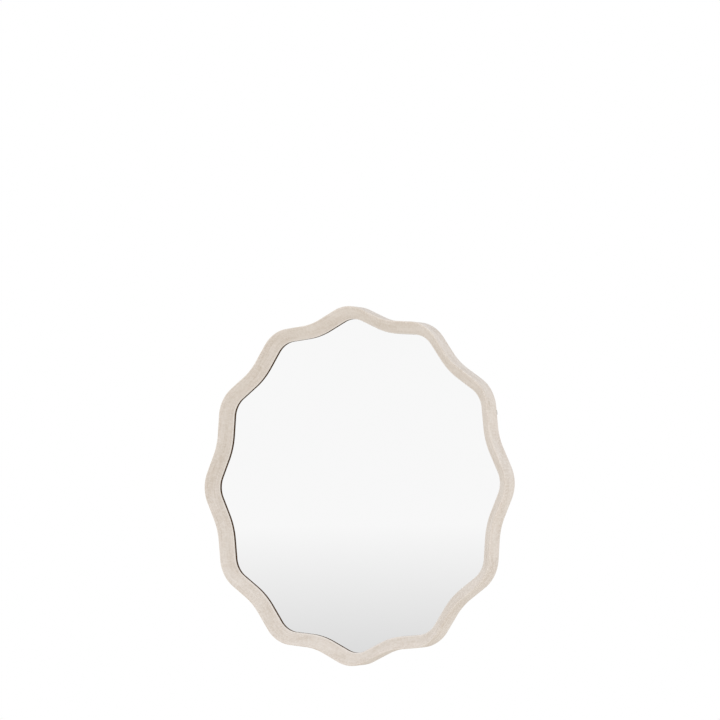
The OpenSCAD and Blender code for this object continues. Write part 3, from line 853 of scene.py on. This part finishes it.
class MIRROR_OT_hangers(bpy.types.Operator):
    """Fold the two hanger straps and bend their rings and screws"""

    bl_idname = "mirror.hangers"
    bl_label = "Hangers"

    def execute(self, context):
        sizes, colours = settings("mirror_fittings"), settings("mirror_colours")
        # Zinc on folded strip: grey, a little glossier than on the clips
        zinc = metal_material("strap_zinc", colours.zinc, colours.strap_cloud, 0.3, 7)
        # Nickel on drawn wire: warmer than the zinc, and nearly polished
        nickel = metal_material("nickel_wire", colours.nickel, colours.nickel_cloud, 0.16, 6)
        # Zinc on turned steel, as on the clips' screws
        bright = metal_material("screw_zinc", colours.zinc, colours.screw_cloud, 0.26, 4)
        heads = []
        for side in ("left", "right"):
            place, pivot_height = hanger_place("ring_" + side)
            strap = strap_solid(sizes, pivot_height)
            bmesh.ops.transform(strap, matrix=place, verts=strap.verts)
            make_piece("strap_" + side, strap, "root", (zinc,), ["hanger_strap_" + side])
            # The ring leans on the strap
            lean = math.asin(
                (2 * sizes.strap_steel + sizes.wire_diameter / 2 + sizes.ring_rest_gap - pivot_height)
                / (sizes.ring_inner_height + sizes.wire_diameter)
            )
            ring = ring_solid(sizes)
            rest = place @ Matrix.Translation((0, 0, pivot_height)) @ Matrix.Rotation(-lean, 4, "X")
            bmesh.ops.transform(ring, matrix=rest, verts=ring.verts)
            make_piece("wire_ring_" + side, ring, "ring_" + side, (nickel,), ["hanging_ring_" + side])
            for step in range(2):
                drop = sizes.hanger_screw_top + step * sizes.hanger_screw_pitch
                head = Matrix.Translation((0, -drop, 2 * sizes.strap_steel)) @ Matrix.Rotation(0.5 + step, 4, "Z")
                heads.append(place @ head)
        screws = place_copies(
            screw_solid(sizes, sizes.hanger_screw_diameter, sizes.hanger_screw_length, sizes.hanger_screw_recess),
            heads,
        )
        make_piece("hanger_screw_set", screws, "root", (bright,), ["hanger_screws"])
        return {"FINISHED"}


class MIRROR_OT_bumpers(bpy.types.Operator):
    """Mould the four rubber wall bumpers"""

    bl_idname = "mirror.bumpers"
    bl_label = "Wall Bumpers"

    def execute(self, context):
        sizes, colours = settings("mirror_fittings"), settings("mirror_colours")
        # Moulded rubber: dark grey and matt, with a faint grain
        rubber = mottled_material("moulded_rubber", colours.rubber, colours.rubber_shade, 1.5, 0.72, 0.04)
        for node in BUMPERS:
            low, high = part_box(node)
            middle, radius = (low + high) / 2, (high.x - low.x) / 2
            bm = bmesh.new()
            rounded_outline(bm, [
                ((0, high.y, 0), 0), ((radius, high.y, 0), sizes.bumper_rounding), ((radius, low.y, 0), 0),
                ((0, low.y, 0), 0),
            ])
            bmesh.ops.delete(bm, geom=bm.faces[:], context="FACES_ONLY")
            axis_edges = [edge for edge in bm.edges if all(abs(vert.co.x) < WELD for vert in edge.verts)]
            bmesh.ops.delete(bm, geom=axis_edges, context="EDGES")
            turn_round(bm, RIGHT, steps=48)
            bmesh.ops.translate(bm, verts=bm.verts, vec=(middle.x, 0, middle.z))
            make_piece(node.replace("wall_", "rubber_"), bm, "root", (rubber,), [node])
        return {"FINISHED"}


def direction(azimuth, elevation):
    """Way from the mirror to a place at these angles. Azimuth 0 is in front of it and positive to its right."""
    level_share = math.cos(elevation)
    return Vector((math.sin(azimuth) * level_share, -math.cos(azimuth) * level_share, math.sin(elevation)))


def white_surroundings(above, below):
    """World: the camera sees white and the object a faint grade. A reflection shows the ground darker far off."""
    world = bpy.data.worlds.new("white_studio")
    bpy.context.scene.world = world
    world.use_nodes = True
    tree = world.node_tree
    tree.nodes.clear()
    ray = add_node(tree, "ShaderNodeLightPath").outputs
    way = add_node(tree, "ShaderNodeTexCoord").outputs["Generated"]
    height = add_node(tree, "ShaderNodeSeparateXYZ", {"Vector": way}).outputs["Z"]
    far_off, near_by = (
        add_node(
            tree, "ShaderNodeMapRange",
            {"Value": height, "From Min": low, "From Max": high, "To Min": at_low, "To Max": at_high},
        ).outputs[0]
        for (low, at_low), (high, at_high) in ((GREYEST, HORIZON), (NEAR_BY, GREYEST))
    )
    ground = add_node(tree, "ShaderNodeMath", {0: far_off, 1: near_by}, operation="MAXIMUM").outputs[0]
    rise = add_node(tree, "ShaderNodeMapRange", {"Value": height, "From Min": -1.0}).outputs[0]
    grade = add_node(tree, "ShaderNodeMix", {0: rise, 6: below, 7: above}, data_type="RGBA").outputs[2]
    lit, seen, reflected = (
        add_node(tree, "ShaderNodeBackground", {"Color": tone, "Strength": strength}).outputs[0]
        for tone, strength in ((grade, 1.0), (WHITE, 1.0), (WHITE, ground))
    )
    shiny = add_node(
        tree, "ShaderNodeMath", {0: ray["Is Glossy Ray"], 1: ray["Is Transmission Ray"]}, operation="MAXIMUM"
    ).outputs[0]
    mirrored = add_node(tree, "ShaderNodeMixShader", {0: shiny, 1: lit, 2: reflected}).outputs[0]
    mixed = add_node(tree, "ShaderNodeMixShader", {0: ray["Is Camera Ray"], 1: mirrored, 2: seen}).outputs[0]
    add_node(tree, "ShaderNodeOutputWorld", {"Surface": mixed})


def floor_material(tone, radius):
    """Matt pale floor that takes the object's shadow, and fades to white at its rim."""
    material, tree, place = new_material("pale_floor")
    distance = add_node(tree, "ShaderNodeVectorMath", {0: place}, operation="LENGTH").outputs["Value"]
    rim = add_node(
        tree, "ShaderNodeMapRange", {"Value": distance, "From Min": radius * 0.3, "From Max": radius * 0.95}
    ).outputs[0]
    matt = add_node(
        tree, "ShaderNodeBsdfPrincipled",
        {"Base Color": tone, "Roughness": 0.9, "IOR": 1.5, "Specular IOR Level": 0.1},
    ).outputs[0]
    white = add_node(tree, "ShaderNodeEmission", {"Color": WHITE, "Strength": 1.0}).outputs[0]
    return close_material(material, "ShaderNodeMixShader", {0: rim, 1: matt, 2: white})


def soft_lamp(name, azimuth, elevation, distance, size, power):
    """Square soft box that looks at the mirror, placed by angles in degrees."""
    lamp = bpy.data.lights.new(name, "AREA")
    lamp.size = size
    lamp.energy = power
    box = bpy.data.objects.new(name, lamp)
    towards = direction(math.radians(azimuth), math.radians(elevation))
    box.location = towards * distance
    box.rotation_mode = "QUATERNION"
    box.rotation_quaternion = towards.to_track_quat("Z", "Y")
    # The glass shows the white surroundings and no lamp
    box.visible_glossy = False
    bpy.context.scene.collection.objects.link(box)


# Soft boxes as (name, azimuth, elevation, distance, size, power)
LAMPS = (
    ("lamp_front_left", -49, 28, 4.0, 2.0, 34.3),
    ("lamp_front_right", 56, 0, 4.0, 2.0, 27.8),
)


class MIRROR_OT_stage(bpy.types.Operator):
    """Set the camera, the pale floor and the soft studio light"""

    bl_idname = "mirror.stage"
    bl_label = "Studio"

    def execute(self, context):
        scene, stage = context.scene, settings("mirror_stage")
        data = bpy.data.cameras.new("camera")
        data.sensor_width = 36
        data.lens = stage.lens
        data.clip_end = 100
        camera = bpy.data.objects.new("camera", data)
        place = direction(stage.camera_azimuth, stage.camera_elevation) * stage.camera_distance
        aim = (
            Matrix.Rotation(stage.camera_yaw, 4, "Z")
            @ Matrix.Rotation(math.pi / 2 + stage.camera_pitch, 4, "X")
            @ Matrix.Rotation(stage.camera_roll, 4, "Z")
        )
        camera.matrix_world = Matrix.Translation(place + Vector((0, FRAME_BACK, 0))) @ aim
        scene.collection.objects.link(camera)
        scene.camera = camera
        bm = bmesh.new()
        bmesh.ops.create_circle(bm, cap_ends=True, segments=96, radius=stage.floor_radius)
        floor = new_object("floor", bm, floor_material(settings("mirror_colours").floor, stage.floor_radius))
        floor.location.z = -stage.floor_depth
        # The mirror and the frame see the white surroundings in its place
        floor.visible_glossy = False
        floor.visible_diffuse = False
        white_surroundings(stage.light_above, stage.light_below)
        for lamp in LAMPS:
            soft_lamp(*lamp)
        scene.view_settings.view_transform = "Standard"
        return {"FINISHED"}


class MIRROR_PT_sidebar(bpy.types.Panel):
    """Sizes, colours and building steps of the mirror"""

    bl_idname = "MIRROR_PT_sidebar"
    bl_label = "Wavy Round Mirror"
    bl_space_type = "VIEW_3D"
    bl_region_type = "UI"
    bl_category = "Mirror"

    def draw(self, context):
        for operator in STEPS:
            self.layout.operator(operator.bl_idname)
        for name in GROUPS:
            box = self.layout.box()
            group = getattr(context.scene, name)
            for key in group.bl_rna.properties.keys():
                if key not in ("rna_type", "name"):
                    box.prop(group, key)


GROUPS = {
    "mirror_ring": MirrorRingSizes,
    "mirror_fittings": MirrorFittingSizes,
    "mirror_colours": MirrorColours,
    "mirror_stage": MirrorStageSettings,
}
STEPS = (
    MIRROR_OT_stage,
    MIRROR_OT_ring_segments,
    MIRROR_OT_glass,
    MIRROR_OT_back,
    MIRROR_OT_clips,
    MIRROR_OT_hangers,
    MIRROR_OT_bumpers,
)


def register():
    for cls in (*GROUPS.values(), *STEPS, MIRROR_PT_sidebar):
        bpy.utils.register_class(cls)
    for name, group in GROUPS.items():
        setattr(bpy.types.Scene, name, bpy.props.PointerProperty(type=group))


def unregister():
    for name in GROUPS:
        delattr(bpy.types.Scene, name)
    for cls in (MIRROR_PT_sidebar, *reversed(STEPS), *reversed(GROUPS.values())):
        bpy.utils.unregister_class(cls)


def main():
    register()
    bpy.ops.mirror.stage()
    bpy.ops.mirror.ring_segments()
    bpy.ops.mirror.glass()
    bpy.ops.mirror.back()
    bpy.ops.mirror.clips()
    bpy.ops.mirror.hangers()
    bpy.ops.mirror.bumpers()


if __name__ == "__main__":
    main()
